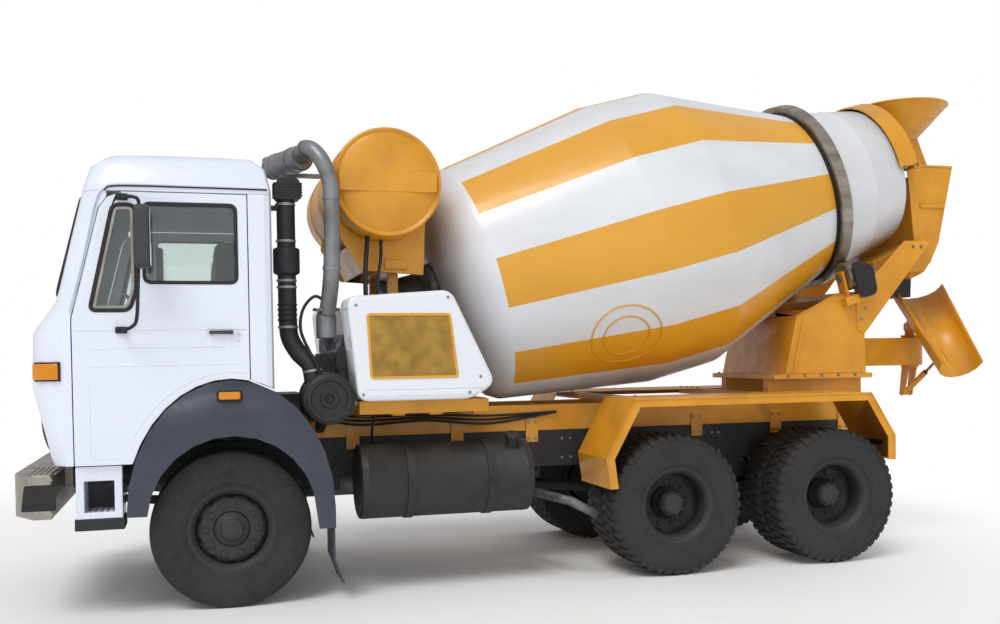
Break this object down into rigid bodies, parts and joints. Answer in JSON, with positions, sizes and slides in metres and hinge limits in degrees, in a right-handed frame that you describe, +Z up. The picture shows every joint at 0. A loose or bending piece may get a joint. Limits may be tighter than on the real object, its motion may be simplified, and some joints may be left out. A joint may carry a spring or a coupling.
{
  "type": "concrete mixer truck",
  "caption": "Three-axle truck with a flat-front cab, a tilted mixing drum on a pedestal, loading and discharge hoppers and a swinging chute.",
  "frame": {"origin": "on the ground, below the middle of the bounding box", "axes": "+X towards the rear of the truck, +Y to the vehicle's right, +Z up"},
  "size_m": [7.74, 2.95, 3.8816],
  "materials": {
    "cab_paint": "gloss",
    "drum_paint": "satin",
    "yellow_paint": "satin",
    "chassis_paint": "matte",
    "mudguard_plastic": "matte",
    "tyre": "matte",
    "steel": "satin",
    "machinery": "matte",
    "glass": "gloss",
    "cover_plastic": "satin",
    "seat_cloth": "matte"
  },
  "bodies": {
    "truck": {"air_intake": "chassis_paint", "cab_floor": "machinery", "cab_front_panel": "cab_paint", "cab_rear_wall": "cab_paint", "cab_roof": "cab_paint", "cab_seats": "seat_cloth", "cab_step_left": "cab_paint", "cab_step_right": "cab_paint", "charge_hopper": "yellow_paint", "chassis_frame": "chassis_paint", "dashboard": "seat_cloth", "discharge_hopper": "yellow_paint", "drive_axles": "chassis_paint", "drum_engine": "machinery", "drum_gearbox": "machinery", "engine_and_exhaust": "machinery", "engine_cover_left": "cover_plastic", "engine_cover_right": "cover_plastic", "front_axle": "chassis_paint", "front_bumper": "steel", "front_mudguard_left": "mudguard_plastic", "front_mudguard_right": "mudguard_plastic", "front_pedestal": "yellow_paint", "fuel_tank": "chassis_paint", "mixer_subframe": "yellow_paint", "rear_mudguards": "yellow_paint", "rear_pedestal": "yellow_paint", "rear_window": "glass", "water_tank": "yellow_paint", "windscreen": "glass"},
    "steering_knuckle_left_body": {"steering_knuckle_left": "steel"},
    "front_wheel_left": {"front_tyre_left": "tyre", "front_rim_left": "chassis_paint"},
    "middle_wheels_left": {"middle_rims_left": "chassis_paint", "middle_outer_tyre_left": "tyre", "middle_inner_tyre_left": "tyre"},
    "rear_wheels_left": {"rear_rims_left": "chassis_paint", "rear_outer_tyre_left": "tyre", "rear_inner_tyre_left": "tyre"},
    "door_left_body": {"door_left": "cab_paint", "door_glass_left": "glass"},
    "roller_left": {"drum_roller_left": "steel"},
    "steering_knuckle_right_body": {"steering_knuckle_right": "steel"},
    "front_wheel_right": {"front_tyre_right": "tyre", "front_rim_right": "chassis_paint"},
    "middle_wheels_right": {"middle_rims_right": "chassis_paint", "middle_outer_tyre_right": "tyre", "middle_inner_tyre_right": "tyre"},
    "rear_wheels_right": {"rear_rims_right": "chassis_paint", "rear_outer_tyre_right": "tyre", "rear_inner_tyre_right": "tyre"},
    "door_right_body": {"door_right": "cab_paint", "door_glass_right": "glass"},
    "roller_right": {"drum_roller_right": "steel"},
    "drum": {"drum_shell": "drum_paint", "drum_ring": "steel"},
    "swivel": {"chute_swivel": "yellow_paint"},
    "chute": {"discharge_chute": "yellow_paint"},
    "ram_barrel": {"chute_ram_barrel": "yellow_paint"},
    "ram_rod": {"chute_ram_rod": "steel"}
  },
  "joints": [
    {"name": "steer_left", "type": "hinge", "parent": "truck", "child": "steering_knuckle_left_body", "pos_m": [-2.53, -0.86, 0.525], "axis": [0, 0, 1], "range_deg": [-30, 30]},
    {"name": "steer_right", "type": "hinge", "parent": "truck", "child": "steering_knuckle_right_body", "pos_m": [-2.53, 0.86, 0.525], "axis": [0, 0, 1], "range_deg": [-30, 30]},
    {"name": "front_wheel_spin_left", "type": "hinge", "parent": "steering_knuckle_left_body", "child": "front_wheel_left", "pos_m": [-2.53, -0.965, 0.525], "axis": [0, 1, 0], "continuous": true},
    {"name": "middle_wheels_spin_left", "type": "hinge", "parent": "truck", "child": "middle_wheels_left", "pos_m": [0.675, -0.91, 0.525], "axis": [0, 1, 0], "continuous": true},
    {"name": "rear_wheels_spin_left", "type": "hinge", "parent": "truck", "child": "rear_wheels_left", "pos_m": [2.025, -0.91, 0.525], "axis": [0, 1, 0], "continuous": true},
    {"name": "door_swing_left", "type": "hinge", "parent": "truck", "child": "door_left_body", "pos_m": [-3.485, -1.2, 1], "axis": [0, 0, -1], "range_deg": [0, 70]},
    {"name": "roller_spin_left", "type": "hinge", "parent": "truck", "child": "roller_left", "pos_m": [2.56123, -0.54976, 2.29768], "axis": [0.9659, 0, 0.2588], "continuous": true},
    {"name": "front_wheel_spin_right", "type": "hinge", "parent": "steering_knuckle_right_body", "child": "front_wheel_right", "pos_m": [-2.53, 0.965, 0.525], "axis": [0, 1, 0], "continuous": true},
    {"name": "middle_wheels_spin_right", "type": "hinge", "parent": "truck", "child": "middle_wheels_right", "pos_m": [0.675, 0.91, 0.525], "axis": [0, 1, 0], "continuous": true},
    {"name": "rear_wheels_spin_right", "type": "hinge", "parent": "truck", "child": "rear_wheels_right", "pos_m": [2.025, 0.91, 0.525], "axis": [0, 1, 0], "continuous": true},
    {"name": "door_swing_right", "type": "hinge", "parent": "truck", "child": "door_right_body", "pos_m": [-3.485, 1.2, 1], "axis": [0, 0, 1], "range_deg": [0, 70]},
    {"name": "roller_spin_right", "type": "hinge", "parent": "truck", "child": "roller_right", "pos_m": [2.56123, 0.54976, 2.29768], "axis": [0.9659, 0, 0.2588], "continuous": true},
    {"name": "drum_spin", "type": "hinge", "parent": "truck", "child": "drum", "pos_m": [-0.6, 0, 2.234], "axis": [0.9659, 0, 0.2588], "continuous": true},
    {"name": "chute_swing", "type": "hinge", "parent": "truck", "child": "swivel", "pos_m": [3.57, 0, 1.52], "axis": [0, 0, 1], "range_deg": [0, 180]},
    {"name": "chute_tilt", "type": "hinge", "parent": "swivel", "child": "chute", "pos_m": [3.57, -0.09, 1.9], "axis": [-1, 0, 0], "range_deg": [-12, 25]},
    {"name": "ram_pivot", "type": "hinge", "parent": "swivel", "child": "ram_barrel", "pos_m": [3.57, 0.06, 1.27], "axis": [-1, 0, 0], "range_deg": [-2.5, 5.5]},
    {"name": "ram_slide", "type": "slide", "parent": "ram_barrel", "child": "ram_rod", "axis": [0, -0.8376, 0.5463], "range_m": [-0.092, 0.19]}
  ],
  "couplings": [
    {"joint": "steer_right", "follows": "steer_left", "ratio": 1},
    {"joint": "roller_spin_left", "follows": "drum_spin", "ratio": -6.48},
    {"joint": "roller_spin_right", "follows": "drum_spin", "ratio": -6.48},
    {"joint": "ram_pivot", "follows": "chute_tilt", "ratio": 0.19},
    {"joint": "ram_slide", "follows": "chute_tilt", "m_per_rad": 0.43}
  ]
}
